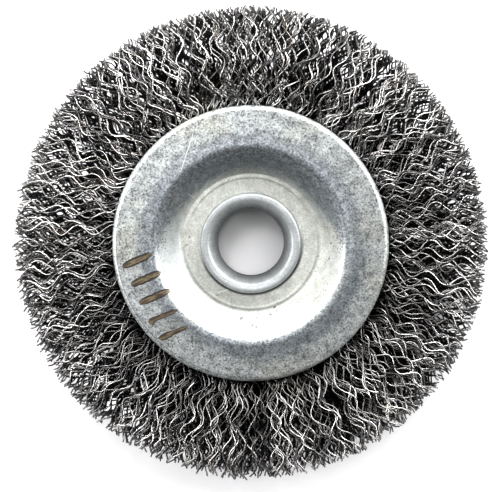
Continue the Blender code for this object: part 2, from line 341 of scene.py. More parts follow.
plateLook = {
    "holeRadius": 9.3, "floorRadius": 17.1, "shoulderRadius": 23.4, "rimRadius": 33.5,
    "floorHeight": 1.15, "shoulderHeight": 7.5, "rimHeight": 6.08, "edgeHeight": 4.18,
    "thickness": 1.0, "floorFillet": 0.8, "shoulderFillet": 2.6, "edgeFillet": 1.35,
    "segments": 192, "shownStep": 0.25, "insideStep": 1.0,
    "ringRadius": 16.1, "ringWidth": 0.27, "ringHeight": 0.10,
    # the press's waves: strength, number round the plate, twist for each millimetre of radius, phase
    "waves": ((1.0, 3, 0.0, 0.4), (0.7, 5, 0.35, 0.0), (0.5, 9, -0.6, 1.0)),
    "waveSag": 0.0105, "waveHeight": 0.007, "waveSoft": 8.0,
    "colour": (0.52, 0.545, 0.545), "roughness": 0.47, "metallic": 0.76,
    "mottleSize": 0.42, "mottleContrast": 0.42, "mottleRelief": 0.03, "mottleBump": 0.6, "rimContrast": 2.3,
    "olive": (0.525, 0.537, 0.497), "oliveScale": 85.0, "oliveCut": (0.42, 0.72),
    "oliveOnFloor": 0.35, "oliveSoft": 1.5,
    "floorSwing": 0.17, "floorLift": 0.3, "floorTurn": 165.0, "floorSoft": 2.0,
    "wallTone": 0.80, "wallSoftIn": 1.2, "wallSoftOut": 2.0,
    "rimTone": 0.83, "rimSwing": -0.13, "rimTurn": 45.0, "rimSoftIn": 1.0, "rimSoftOut": 3.0,
    "edgeFrom": 32.2, "edgeSoft": 0.5, "edgeTone": 1.55,
    # the painted light on the shoulder: where it fades in and out, from the shoulder's radius, and across it
    "shoulderLift": 0.30, "shoulderLiftTurn": 62.0,
    "liftIn": (-2.6, -1.2), "liftOut": (3.2, 0.8), "liftAcross": (-4.0, 18.0),
    "dirtAndShade": (0.21, 0.235, 0.26), "dirtFrom": 16.8, "dirtTo": 30.0, "dirtSoftIn": 2.4, "dirtSoftOut": 4.5,
    "dirtSize": 1.0, "dirtShare": 0.86, "dirtInBand": 0.30, "dirtCut": (0.60, 0.86),
    "dirtyTurn": 312.0, "dirtAndShadeBoost": 0.15, "dirtyAcross": (12.0, 25.0),
    "dirtyIn": (24.5, 27.5), "dirtyOut": (33.0, 30.5),
    "clearLine": 22.1, "cleanSoft": 2.2, "cleanAbove": 12.0, "cleanBelow": -6.0,
    "grit": (0.10, 0.118, 0.138), "gritSize": 0.55, "gritShare": 0.85, "gritEdge": 0.05,
    "gritOnFloor": 0.66, "gritOnShoulder": 0.49, "gritOnRim": 0.545, "gritSoft": 3.5, "gritOffLitWall": 0.2,
    "speck": (0.12, 0.12, 0.11), "speckSize": 1.1, "speckAmount": 0.30, "speckEdge": 0.10,
    "speckGroupScale": 160.0, "speckGroupCut": (0.50, 0.72),
    "speckCentre": (13.4, 3.0, 1.2), "speckReach": 5.5, "speckBoost": 0.17,
    "creaseRadius": 32.5, "creaseWidth": 0.22, "creaseShare": 0.7, "creaseAcross": (-24.0, -36.0),
    "lipShadow": (0.035, 0.038, 0.042), "footFrom": 12.6, "footTo": 13.2, "footAcross": (3.0, -8.0),
    "footSlant": -0.15,
}

# strokes of brown paint and light scratches: x, y, angle, half length, half width
brownMarks = {
    "strokes": (
        (-27.40, -3.96, 24.0, 3.95, 0.95), (-25.28, -8.38, 24.0, 4.00, 0.95),
        (-23.16, -12.80, 24.0, 4.05, 0.92), (-21.04, -17.35, 23.0, 3.70, 0.60),
        (-23.70, -18.75, 58.0, 0.95, 0.80), (-18.80, -21.60, 23.0, 3.95, 0.56),
        (-20.30, -22.30, 26.0, 1.90, 0.80),
    ),
    "angle": 24.0, "streakScale": (420.0, 1900.0, 0.0), "streakCut": (0.43, 0.57), "metallic": 0.1,
    "colour": (0.155, 0.120, 0.068), "streak": (0.046, 0.028, 0.018), "outline": (0.014, 0.010, 0.006),
}

scratches = {
    "strokes": (
        (-15.3, 22.0, 72.0, 5.1, 0.11), (-6.9, -11.9, 18.0, 1.5, 0.13), (-14.2, 11.2, 140.0, 1.6, 0.09),
    ),
    "colour": (0.75, 0.76, 0.73), "share": 0.75,
    "pits": ((-2.3, -18.4, 30.0, 0.42, 0.32), (-8.2, -12.9, 60.0, 0.22, 0.15)),
    "pitColour": (0.16, 0.16, 0.15),
}


def plateOutline(side):
    look = plateLook
    shown = np.array([
        (look["holeRadius"], look["floorHeight"]), (look["floorRadius"], look["floorHeight"]),
        (look["shoulderRadius"], look["shoulderHeight"]), (look["rimRadius"], look["rimHeight"]),
        (look["rimRadius"], look["edgeHeight"]),
    ])
    # the inside: each line moved by the sheet's thickness, to the right of its direction
    sheet = look["thickness"]
    way = np.diff(shown, axis=0)
    way /= np.linalg.norm(way, axis=1)[:, None]
    normal = np.stack([way[:, 1], -way[:, 0]], axis=1) * sheet
    inside = [shown[0] + normal[0]]
    for i in range(1, len(way)):
        gap = normal[i] - normal[i - 1]
        cross = way[i - 1][0] * way[i][1] - way[i - 1][1] * way[i][0]
        along = (gap[0] * way[i][1] - gap[1] * way[i][0]) / cross
        inside.append(shown[i] + normal[i - 1] + way[i - 1] * along)
    inside.append(shown[-1] + normal[-1])
    fillets = np.array([look["floorFillet"], look["shoulderFillet"], look["edgeFillet"]])
    insideFillets = fillets + np.array([sheet, -sheet, -sheet])
    top = roundedOutline(shown * mm, fillets * mm, look["shownStep"] * mm)
    under = roundedOutline(np.array(inside) * mm, insideFillets * mm, look["insideStep"] * mm)
    # a low coined ring round the dish floor, on the shown side
    crown = np.exp(-((top[:, 0] / mm - look["ringRadius"]) / look["ringWidth"]) ** 2)
    top[:, 1] += look["ringHeight"] * mm * crown
    outline = np.concatenate([top, under[::-1]])
    outline[:, 1] *= side
    return outline


def plateRipple(radius, angle):
    # low waves left by the press, none on the dish floor: sag + height times the sum of
    # strength * sin(number * angle + twist * radius + phase)
    look = plateLook
    reach = np.clip((radius / mm - look["floorRadius"]) / look["waveSoft"], 0, 1)
    waves = sum(strength * np.sin(number * angle + twist * radius / mm + phase)
                for strength, number, twist, phase in look["waves"])
    return -(look["waveSag"] + look["waveHeight"] * waves) * mm * reach


def strokeMask(tree, place, strokes, output="Mask"):
    # the union of several blunt strokes on the plate's plan
    mask = 0.0
    for x, y, angle, halfLength, halfWidth in strokes:
        outline = min(strokeLook["outline"], halfWidth / strokeLook["outlineLimit"])
        stroke = useGroup(tree, strokeGroup, {
            "Vector": place, "Centre": (x * mm, y * mm, 0.0), "Angle": math.radians(angle),
            "Half Length": halfLength * mm, "Half Width": halfWidth * mm, "Outline": outline * mm,
        })
        mask = calc(tree, "MAXIMUM", mask, stroke[output])
    return mask


def oliveStain(tree, place, radius):
    # an olive passivation stain, over most of the dish floor and in clouds elsewhere
    look = plateLook
    floor, soft = look["floorRadius"], look["oliveSoft"]
    onFloor = fadeMm(tree, radius, floor + soft, floor - soft, 0.0, look["oliveOnFloor"])
    cloud = noise(tree, place, look["oliveScale"], detail=3.0)
    olive = fade(tree, total(tree, cloud, onFloor), *look["oliveCut"])
    return blendColour(tree, olive, look["colour"], look["olive"])


def dirtGritAndShade(tree, place, part, radius, colour):
    look = plateLook
    floor, shoulder = look["floorRadius"], look["shoulderRadius"]
    # dirt and painted shade: the dirt reaches down the shaded wall on the side towards the light, and starts
    # further out on the other side
    below, above = look["cleanBelow"], look["cleanAbove"]
    cleanFull, dirtFull = look["clearLine"] + look["cleanSoft"], look["dirtFrom"] + look["dirtSoftIn"]
    start = fadeMm(tree, part[1], below, above, look["clearLine"] * mm, look["dirtFrom"] * mm)
    full = fadeMm(tree, part[1], below, above, cleanFull * mm, dirtFull * mm)
    # blue-grey dirt with painted shade on the shoulder, ragged at its borders
    inBand = product(tree, fade(tree, radius, start, full),
                     fadeMm(tree, radius, look["dirtTo"], look["dirtTo"] - look["dirtSoftOut"]))
    patch = noise(tree, place, 1 / (look["dirtSize"] * mm), detail=7.0, roughness=0.85)
    # outside the shoulder, more of it lies on one side, as painted shade
    towards = reachTowards(tree, part, look["dirtyTurn"])
    boost = product(tree, fadeMm(tree, towards, *look["dirtyAcross"], 0.0, look["dirtAndShadeBoost"]),
                    fadeMm(tree, radius, *look["dirtyOut"]), fadeMm(tree, radius, *look["dirtyIn"]))
    amount = total(tree, patch, boost, product(tree, inBand, look["dirtInBand"]))
    dirtAndShade = fade(tree, amount, *look["dirtCut"], 0.0, look["dirtShare"])
    colour = blendColour(tree, dirtAndShade, colour, look["dirtAndShade"])
    # hard-edged grit: thin on the dish floor, thick on the shoulder, loose on the rim, and thinned as painted
    # light on the lit side of the wall
    grit = noise(tree, place, 1 / (look["gritSize"] * mm), detail=3.0, roughness=0.7)
    inDish = fadeMm(tree, radius, floor, shoulder, look["gritOnFloor"], look["gritOnShoulder"])
    outwards = fadeMm(tree, radius, shoulder, shoulder + look["gritSoft"],
                      0.0, look["gritOnRim"] - look["gritOnShoulder"])
    offLitWall = product(tree, fade(tree, radius, full, start),
                     fadeMm(tree, part[1], 0.0, below, 0.0, look["gritOffLitWall"]))
    left = calc(tree, "SUBTRACT", grit, total(tree, inDish, outwards, offLitWall))
    shown = fade(tree, left, 0.0, look["gritEdge"], 0.0, look["gritShare"])
    return blendColour(tree, shown, colour, look["grit"])


def plateGrainAndPaintedLight(tree, part, radius, grain):
    look = plateLook
    floor, shoulder = look["floorRadius"], look["shoulderRadius"]
    # the mottle is livelier on the rim
    contrast = fadeMm(tree, radius, shoulder, shoulder + look["rimSoftOut"], 1.0, look["rimContrast"])
    mottled = toneBy(tree, calc(tree, "SUBTRACT", grain["Tone"], 1.0), contrast)
    # painted light: the dish floor is lighter on two opposite sides: 1 + swing * (cos(2 (angle - turn)) +
    # lift), where the cosine is ((x^2 - y^2) cos(2 turn) + 2 x y sin(2 turn)) / radius^2
    double = math.radians(2 * look["floorTurn"])
    squares = [calc(tree, "POWER", part[axis], 2.0) for axis in (0, 1)]
    lobe = total(tree, product(tree, calc(tree, "SUBTRACT", *squares), math.cos(double)),
                 product(tree, part[0], part[1], 2 * math.sin(double)))
    lobe = calc(tree, "DIVIDE", lobe, calc(tree, "MAXIMUM", calc(tree, "POWER", radius, 2.0), mm * mm))
    swing = fadeMm(tree, radius, floor + look["floorSoft"], floor, 0.0, look["floorSwing"])
    onFloor = toneBy(tree, total(tree, lobe, look["floorLift"]), swing)
    # painted shade: the wall is darker all round
    inWall = product(tree, fadeMm(tree, radius, floor, floor + look["wallSoftIn"]),
                     fadeMm(tree, radius, shoulder, shoulder - look["wallSoftOut"]))
    onWall = toneBy(tree, inWall, look["wallTone"] - 1.0)
    # painted shade: the rim is darker, more so on one side: tone + swing * cos(angle - turn)
    lobe = calc(tree, "DIVIDE", reachTowards(tree, part, look["rimTurn"]), calc(tree, "MAXIMUM", radius, mm))
    side = calc(tree, "MULTIPLY_ADD", lobe, look["rimSwing"], look["rimTone"] - 1.0)
    inRim = fadeMm(tree, radius, shoulder - look["rimSoftIn"], shoulder + look["rimSoftOut"])
    onRim = toneBy(tree, side, inRim)
    # painted light: the shoulder is lighter on one side
    towards = reachTowards(tree, part, look["shoulderLiftTurn"])
    lifted = product(tree, fadeMm(tree, radius, *[shoulder + offset for offset in look["liftIn"]]),
                     fadeMm(tree, radius, *[shoulder + offset for offset in look["liftOut"]]),
                     fadeMm(tree, towards, *look["liftAcross"], 0.0, look["shoulderLift"]))
    onShoulder = total(tree, lifted, 1.0)
    # and a painted highlight runs all round the rolled edge
    edge = look["edgeFrom"]
    onEdge = fadeMm(tree, radius, edge, edge + look["edgeSoft"], 1.0, look["edgeTone"])
    return product(tree, mottled, onFloor, onWall, onRim, onShoulder, onEdge)


def darkSpecks(tree, place):
    # small dark specks in loose groups, the most of them round one place
    look = plateLook
    cells = addNode(tree, "ShaderNodeTexVoronoi", {"Vector": place, "Scale": 1 / (look["speckSize"] * mm)})
    group = noise(tree, place, look["speckGroupScale"], detail=2.0)
    apart = distanceFrom(tree, place, tuple(value * mm for value in look["speckCentre"]))
    reach = total(tree, fade(tree, group, *look["speckGroupCut"], 0.0, look["speckAmount"]),
                  fadeMm(tree, apart, look["speckReach"], 0.0, 0.0, look["speckBoost"]))
    return fade(tree, calc(tree, "SUBTRACT", cells.outputs["Distance"], reach), 0.0, -look["speckEdge"])


def frontWearAndShade(tree, part, radius, flat, colour):
    look = plateLook
    # painted shade in a crease just inside the rolled edge, on the side away from the light
    apart = calc(tree, "ABSOLUTE", calc(tree, "SUBTRACT", radius, look["creaseRadius"] * mm))
    creaseShade = product(tree, fadeMm(tree, apart, look["creaseWidth"], 0.0, 0.0, look["creaseShare"]),
                     fadeMm(tree, total(tree, part[0], part[1]), *look["creaseAcross"]))
    colour = blendColour(tree, creaseShade, colour, look["grit"])
    # painted shadow in the corner under the eyelet's lip, on one side
    across = calc(tree, "MULTIPLY_ADD", part[0], look["footSlant"], part[1])
    lipShadow = product(tree, fadeMm(tree, radius, look["footTo"], look["footFrom"]),
                   fadeMm(tree, across, *look["footAcross"]))
    colour = blendColour(tree, lipShadow, colour, look["lipShadow"])
    light = product(tree, strokeMask(tree, flat, scratches["strokes"]), scratches["share"])
    colour = blendColour(tree, light, colour, scratches["colour"])
    return blendColour(tree, strokeMask(tree, flat, scratches["pits"]), colour, scratches["pitColour"])


def brownPaint(tree, flat):
    # paint with streaks along its strokes and a darker outline
    look = brownMarks
    turned = turnPlace(tree, flat, -math.radians(look["angle"]))
    streaks = noise(tree, vectorCalc(tree, "MULTIPLY", turned, look["streakScale"]), 1.0, detail=3.0)
    paint = blendColour(tree, fade(tree, streaks, *look["streakCut"]), look["colour"], look["streak"])
    return blendColour(tree, strokeMask(tree, flat, look["strokes"], "Core"), look["outline"], paint)


def plateMaterial(name, marked):
    look = plateLook
    material, tree, shader, place = newMetal(name, look["colour"], look["roughness"], look["metallic"])
    part = splitPlace(tree, place)
    radius = planRadius(tree, part)
    grain = mottle(tree, place, look)
    colour = oliveStain(tree, place, radius)
    colour = dirtGritAndShade(tree, place, part, radius, colour)
    colour = blendColour(tree, 1.0, colour, plateGrainAndPaintedLight(tree, part, radius, grain), "MULTIPLY")
    colour = blendColour(tree, darkSpecks(tree, place), colour, look["speck"])
    if marked:
        flat = addNode(tree, "ShaderNodeCombineXYZ", {0: part[0], 1: part[1]}).outputs[0]
        colour = frontWearAndShade(tree, part, radius, flat, colour)
        marks = strokeMask(tree, flat, brownMarks["strokes"])
        colour = blendColour(tree, marks, colour, brownPaint(tree, flat))
        linkTo(tree, shader, Metallic=fade(tree, marks, 0.0, 1.0, look["metallic"], brownMarks["metallic"]))
    finishMetal(tree, shader, grain, look, colour)
    return material


for side, node, marked in ((1, "front_plate", True), (-1, "rear_plate", False)):
    plate = turnedPiece(node + "_pressing", plateOutline(side), plateLook["segments"],
                        plateMaterial("zinc plated " + node.replace("_", " "), marked),
                        lambda radius, angle: side * plateRipple(radius, angle))
    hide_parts(node)
print("plates done")


# Hub eyelet: a tube flared over both plates. Painted shade darkens its bore fully up to one radius and fades
# out by a second, and the swings are painted light: how much lighter its sides are.

eyeletLook = {
    "boreRadius": 8.0, "throatHalf": 0.5, "funnelRadius": 10.4, "lipRadius": 12.25, "tubeRadius": 9.0,
    "crestHeight": 3.60, "bandHeight": 3.42, "lipUnderside": 1.45,
    "throatFillet": 1.5, "crestFillet": 1.6, "lipFillet": 0.8, "undersideFillet": 0.25, "tubeFillet": 0.1,
    "segments": 160, "step": 0.4,
    "colour": (0.475, 0.498, 0.505), "roughness": 0.50, "metallic": 0.85,
    "mottleSize": 0.5, "mottleContrast": 0.34, "mottleRelief": 0.02, "mottleBump": 0.5,
    "funnelShadeTo": 8.3, "clearLine": 10.3, "funnelShade": 0.33,
    "swingFrom": 10.3, "swingTo": 11.2, "innerSwing": 0.45, "outerSwing": -0.10, "endsSwing": 0.10,
}


def eyeletOutline():
    look = eyeletLook
    half = np.array([
        (look["boreRadius"], 0.0), (look["boreRadius"], look["throatHalf"]),
        (look["funnelRadius"], look["crestHeight"]), (look["lipRadius"], look["bandHeight"]),
        (look["lipRadius"], look["lipUnderside"]), (look["tubeRadius"], look["lipUnderside"]),
        (look["tubeRadius"], 0.0),
    ]) * mm
    fillets = np.array([look["throatFillet"], look["crestFillet"], look["lipFillet"],
                        look["undersideFillet"], look["tubeFillet"]]) * mm
    front = roundedOutline(half, fillets, look["step"] * mm)[:-1]
    rear = front[1:][::-1] * (1, -1)
    return np.concatenate([front, rear])


def eyeletPaintedLight(tree, place):
    look = eyeletLook
    # painted shade: darker in the bore and funnel
    level = vectorCalc(tree, "MULTIPLY", place, (1.0, 1.0, 0.0))
    radius = vectorCalc(tree, "LENGTH", level, output="Value")
    inBore = fadeMm(tree, radius, look["funnelShadeTo"], look["clearLine"], look["funnelShade"], 1.0)
    # painted light and shade: lighter on one side: 1 + swing * sin(angle), the other way round outside the
    # crest
    lobe = calc(tree, "DIVIDE", splitPlace(tree, place)[1], calc(tree, "MAXIMUM", radius, mm))
    swing = fadeMm(tree, radius, look["swingFrom"], look["swingTo"], look["innerSwing"], look["outerSwing"])
    # and painted light: a little lighter at both ends of the y axis: 1 - swing * cos(2 angle)
    ends = calc(tree, "MULTIPLY_ADD", calc(tree, "POWER", lobe, 2.0), 2.0, -1.0)
    return product(tree, inBore, toneBy(tree, lobe, swing), toneBy(tree, ends, look["endsSwing"]))


def mottledMaterial(name, look, paintedLightOf=None):
    # plain mottled metal; paintedLightOf gives a piece's painted light and shade
    material, tree, shader, place = newMetal(name, look["colour"], look["roughness"], look["metallic"])
    grain = mottle(tree, place, look)
    tone = grain["Tone"]
    if paintedLightOf:
        tone = product(tree, tone, paintedLightOf(tree, place))
    finishMetal(tree, shader, grain, look, blendColour(tree, 1.0, look["colour"], tone, "MULTIPLY"))
    return material


eyelet = turnedPiece("hub_eyelet_turned", eyeletOutline(), eyeletLook["segments"],
                     mottledMaterial("zinc eyelet", eyeletLook, eyeletPaintedLight))
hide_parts("hub_eyelet")


# Retaining ring, in the hollow between the plates

ringLook = {
    "radius": 23.0, "wireRadius": 1.25, "segments": 144, "sides": 20,
    "colour": (0.36, 0.35, 0.34), "roughness": 0.42, "metallic": 1.0,
    "mottleSize": 0.7, "mottleContrast": 0.10, "mottleRelief": 0.01, "mottleBump": 0.5,
}


def ringOutline():
    # a circle: (radius + wireRadius cos a, wireRadius sin a)
    look = ringLook
    around = 2 * math.pi * np.arange(look["sides"]) / look["sides"]
    across = look["radius"] + look["wireRadius"] * np.cos(around)
    return np.stack([across, look["wireRadius"] * np.sin(around)], axis=1) * mm


ring = turnedPiece("retaining_ring_bent", ringOutline(), ringLook["segments"],
                   mottledMaterial("steel ring", ringLook))
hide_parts("retaining_ring")
print("eyelet and ring done")


# Wires: hairpins folded over the ring, crimped, gathered in locks, one piece for each hank. Lengths are in
# millimetres; spreads, jitters, leans and nests are standard deviations.

wireLook = {
    "hanks": 36, "hairpinsPerHank": 34, "locksPerHank": 19, "seed": 41,
    "thickness": 0.36, "sides": 4, "legPoints": 39, "crestCrowd": 0.45, "crowdEnds": 8,
    "legStart": 27.7, "plateRadius": 33.5, "wheelRadius": 57.5, "beyondLimit": 1.1,
    "gripHalf": 3.7, "faceHalf": 7.9, "flareLength": 13.0,
    # how far a lock lies from the wheel's middle plane, in shares of its half thickness
    "depths": (-0.14, 0.97), "depthBias": 0.52, "depthFill": 0.97,
    "goldenShare": 0.618034, "frontShift": 0.4, "lockSpot": (0.1, 0.9),
    "crimpLength": 8.6, "crimpLengthSpread": 0.7, "crimpDepth": 1.2, "crimpDepthSpread": 0.2,
    "roundness": 0.04, "crimpJitter": 0.08, "crimpWave": 0.18, "crimpWaveRate": 1.3,
    # planeSpread is in degrees, planeJitter and phaseSpread are in radians
    "planeSpread": 18.0, "planeJitter": 0.12, "phaseSpread": 0.35,
    "lean": 1.3, "legLean": 1.4, "legLeanBend": 1.5, "nestAcross": 0.7, "nestAlong": 0.35,
    "wander": 0.6, "wanderLength": 21.0,
    # the crimp is pressed to this share under the plates and comes free over this reach at their edge
    "pressedFlat": 0.25, "pressedInside": 1.5, "pressedReach": 3.0,
    "tipShort": 2.0, "shortBias": 2.5, "lockShort": 0.5, "lockShortBias": 2,
    "tipStray": 0.5, "strayShare": 0.05, "tipMix": 0.5,
    "foldRadii": (1.8, 3.1), "foldPoints": 5, "ringRadius": 23.0,
    "colour": (0.95, 0.925, 0.905), "roughness": 0.17, "roughSwing": 0.05,
    "mottleSize": 0.9, "mottleContrast": 0.16,
    "oxide": (0.46, 0.38, 0.31), "oxideScale": 160.0, "oxideCut": (0.56, 0.72), "oxideShare": 0.45,
    "tones": (0.14, 1.12), "toneSwing": 0.25, "toneLength": 11.0,
    "shadeFrom": 0.64, "shadeTo": 0.95, "coreShade": 0.012,
    "plateShadow": (0.20, 0.85), "plateShadowAcross": (-25.0, 25.0), "plateShadowReach": 17.0,
    "outerFrom": 42.0, "outerLift": 0.07,
    "tipFrom": 54.5, "tipShade": 0.4, "tipShadeFrom": 52.0, "tipShadeTone": 0.38,
}


def halfThickness(radius):
    # half the wires' thickness: gripped by the plates, then flaring on a quarter sine wave
    look = wireLook
    spread = np.clip((radius - look["plateRadius"]) / look["flareLength"], 0, 1)
    return look["gripHalf"] + (look["faceHalf"] - look["gripHalf"]) * np.sin(spread * math.pi / 2)


def softLimit(value, limit, sharpness=8):
    # value, bent so that it never passes limit: v / (1 + |v / limit|^s)^(1/s)
    return value / (1 + np.abs(value / limit) ** sharpness) ** (1 / sharpness)


def lockShapes(dice, hank, side):
    # what the wires of one lock share. Depths of neighbouring locks follow the golden ratio, so that no
    # stretch of the wheel is all front or all core.
    look = wireLook
    locks = look["locksPerHank"]
    sector = 2 * math.pi / look["hanks"]
    spot = (np.arange(locks) + dice.uniform(*look["lockSpot"], locks)) / locks
    order = look["goldenShare"] * (np.arange(locks) + hank * locks + look["frontShift"] * (side > 0))
    inner, outer = look["depths"]
    return {
        "angle": spot * sector + hank * sector,
        "depth": inner + (outer - inner) * (order % 1) ** look["depthBias"],
        "length": dice.normal(look["crimpLength"], look["crimpLengthSpread"], locks),
        "swing": dice.normal(look["crimpDepth"], look["crimpDepthSpread"], locks),
        "phase": dice.uniform(0, 2 * math.pi, locks),
        "plane": dice.normal(0, math.radians(look["planeSpread"]), locks),
        "lean": dice.normal(0, look["lean"], locks),
        "short": dice.uniform(0, 1, locks) ** look["lockShortBias"] * look["tipShort"] * look["lockShort"],
    }


def legPaths(dice, hank, side, lock, count):
    # each leg runs out along its radius r. With crimp = A sin(2 pi (r - r0) / L + phase) it is moved across
    # by lean + nest + crimp cos(plane) and up by depth * halfThickness(r) + crimp sin(plane).
    look = wireLook
    own = {name: values[lock][:, None] for name, values in lockShapes(dice, hank, side).items()}

    def jitter(spread):
        return dice.normal(0, spread, (count, 1))

    short = own["short"] + dice.uniform(0, 1, (count, 1)) ** look["shortBias"] * look["tipShort"]
    stray = (dice.uniform(0, 1, (count, 1)) < look["strayShare"]) * dice.uniform(0, 1, (count, 1))
    tip = look["wheelRadius"] - short + stray * (short + look["tipStray"])
    # points crowd at the crests, where a wire bends most: turn = u + crowd / 2 * sin(2 u), u in even steps
    share = np.linspace(0, 1, look["legPoints"])[None, :]
    phase = own["phase"] + jitter(look["phaseSpread"])
    even = 2 * math.pi * (tip - look["legStart"]) * share / own["length"] + phase
    crowd = look["crestCrowd"] / 2 * np.minimum(1, look["crowdEnds"] * np.minimum(share, 1 - share))
    turn = even + crowd * np.sin(2 * even)
    radius = look["legStart"] + (turn - phase) * own["length"] / (2 * math.pi)
    # beyond goes from 0 at the plates' edge to 1 at the wheel's
    bare = look["wheelRadius"] - look["plateRadius"]
    beyond = np.clip((radius - look["plateRadius"]) / bare, 0, look["beyondLimit"])
    drift = 2 * math.pi * radius / look["wanderLength"] + dice.uniform(0, 2 * math.pi, (count, 1))
    wave = np.sin(turn) + look["roundness"] * np.sin(3 * turn)
    slow = 1 + look["crimpWave"] * np.sin(drift * look["crimpWaveRate"])
    swing = own["swing"] * (1 + jitter(look["crimpJitter"])) * slow
    plane = own["plane"] + jitter(look["planeJitter"])
    nest = jitter(look["nestAcross"]) * (1 + beyond)
    lean = own["lean"] * beyond + jitter(look["legLean"]) * beyond ** look["legLeanBend"]
    across = nest + lean + look["wander"] * beyond * np.sin(drift) + swing * wave * np.cos(plane)
    room = halfThickness(radius)
    fromPlate = radius - look["plateRadius"] + look["pressedInside"]
    free = np.clip(fromPlate / look["pressedReach"], look["pressedFlat"], 1)
    height = side * (own["depth"] * room * look["depthFill"] + jitter(look["nestAlong"]))
    height += swing * wave * np.sin(plane) * free
    height += jitter(look["tipMix"]) * beyond ** 2
    return radius, own["angle"] + across / radius, softLimit(height, room)


def hairpinPaths(dice, hank):
    # front leg from its tip inwards, half a turn round the ring, rear leg out to its tip
    look = wireLook
    count = look["hairpinsPerHank"]
    lock = dice.permutation(np.arange(count) % look["locksPerHank"])
    frontRadius, frontAngle, frontHeight = legPaths(dice, hank, 1, lock, count)
    rearRadius, rearAngle, rearHeight = legPaths(dice, hank, -1, dice.permutation(lock), count)
    bend = dice.uniform(*look["foldRadii"], (count, 1))
    swing = np.linspace(math.pi / 2, 3 * math.pi / 2, look["foldPoints"])[None, :]
    share = np.linspace(0, 1, look["foldPoints"])[None, :]
    foldRadius = look["ringRadius"] + bend * np.cos(swing)
    foldHeight = bend * np.sin(swing)
    foldAngle = frontAngle[:, :1] * (1 - share) + rearAngle[:, :1] * share
    radius = np.concatenate([frontRadius[:, ::-1], foldRadius, rearRadius], axis=1) * mm
    angle = np.concatenate([frontAngle[:, ::-1], foldAngle, rearAngle], axis=1)
    height = np.concatenate([frontHeight[:, ::-1], foldHeight, rearHeight], axis=1) * mm
    return np.stack([radius * np.cos(angle), radius * np.sin(angle), height], axis=2), angle


def hankPiece(hank, material):
    # a round profile carried along every path: point = path + R (cos t * a + sin t * b), where b is square to
    # the path and to the direction round the wheel, and a is square to both
    look = wireLook
    dice = np.random.default_rng(look["seed"] * 1000 + hank)
    path, angle = hairpinPaths(dice, hank)
    wires, steps = path.shape[:2]
    tangent = np.gradient(path, axis=1)
    tangent /= np.linalg.norm(tangent, axis=2, keepdims=True)
    aside = np.stack([-np.sin(angle), np.cos(angle), np.zeros_like(angle)], axis=2)
    upward = np.cross(tangent, aside)
    upward /= np.linalg.norm(upward, axis=2, keepdims=True)
    sideways = np.cross(upward, tangent)
    turn = (2 * math.pi * np.arange(look["sides"]) / look["sides"] + math.pi / 2)[:, None]
    profile = np.cos(turn) * sideways[:, :, None, :] + np.sin(turn) * upward[:, :, None, :]
    points = path[:, :, None, :] + look["thickness"] / 2 * mm * profile
    index = np.arange(wires * steps * look["sides"]).reshape(wires, steps, look["sides"])
    here, ahead = index[:, :-1], index[:, 1:]
    quads = np.stack([here, np.roll(here, -1, axis=2), np.roll(ahead, -1, axis=2), ahead], axis=3)
    caps = np.concatenate([index[:, 0, ::-1], index[:, -1]])
    faces = [quads.reshape(-1, 4), caps]
    piece = meshPiece(f"crimped_wires_{hank + 1:02d}", points.reshape(-1, 3), faces, material)
    # each wire has its own tone, which rises and falls along it on a sine wave
    along = np.linalg.norm(path[:, :, :2], axis=2)
    phase = dice.uniform(0, 2 * math.pi, (wires, 1))
    wave = np.sin(2 * math.pi * along / (look["toneLength"] * mm) + phase)
    tones = np.clip(dice.uniform(0, 1, (wires, 1)) + look["toneSwing"] * wave, 0, 1)
    tone = piece.data.attributes.new("wireTone", "FLOAT", "POINT")
    tone.data.foreach_set("value", np.repeat(tones.ravel(), look["sides"]).astype(np.float32))
    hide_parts(f"wire_hank_{hank + 1:02d}")


def wireMaterial():
    look = wireLook
    plate, wheel = look["plateRadius"], look["wheelRadius"]
    material, tree, shader, place = newMetal("crimped steel wire", look["colour"], look["roughness"])
    grain = mottle(tree, place, look)
    tone = addNode(tree, "ShaderNodeAttribute", attribute_name="wireTone").outputs["Fac"]
    ownShade = fade(tree, tone, 0.0, 1.0, *look["tones"])
    # painted shade: wires near either side of the wheel are bright, those in its core are dark
    part = splitPlace(tree, place)
    radius = planRadius(tree, part)
    face = fadeMm(tree, radius, plate, plate + look["flareLength"],
                  look["gripHalf"] * mm, look["faceHalf"] * mm)
    outwards = total(tree, calc(tree, "DIVIDE", calc(tree, "ABSOLUTE", part[2]), face),
                     fadeMm(tree, radius, look["outerFrom"], look["tipFrom"], 0.0, look["outerLift"]))
    core = fadeMm(tree, radius, look["tipFrom"], wheel, look["coreShade"], look["tipShade"])
    inDepth = fade(tree, outwards, look["shadeFrom"], look["shadeTo"], core, 1.0)
    # painted shadow of the plates where the wires come out from under them, most of it on one side
    plateShadowSide = fadeMm(tree, part[1], *look["plateShadowAcross"], *look["plateShadow"])
    plateShadow = fadeMm(tree, radius, plate, plate + look["plateShadowReach"], plateShadowSide, 1.0)
    # and painted shade darkens the wires towards their tips
    paintedTipShade = fadeMm(tree, radius, look["tipShadeFrom"], wheel, 1.0, look["tipShadeTone"])
    shade = product(tree, grain["Tone"], ownShade, inDepth, plateShadow, paintedTipShade)
    stain = noise(tree, place, look["oxideScale"], detail=2.0)
    stain = fade(tree, stain, *look["oxideCut"], 0.0, look["oxideShare"])
    colour = blendColour(tree, stain, look["colour"], look["oxide"])
    colour = blendColour(tree, 1.0, colour, shade, "MULTIPLY")
    dullest, glossiest = look["roughness"] + look["roughSwing"], look["roughness"] - look["roughSwing"]
    rough = total(tree, grain["Rough"], fade(tree, tone, 0.0, 1.0, dullest, glossiest))
    linkTo(tree, shader, Base_Color=colour, Roughness=rough)
    return material


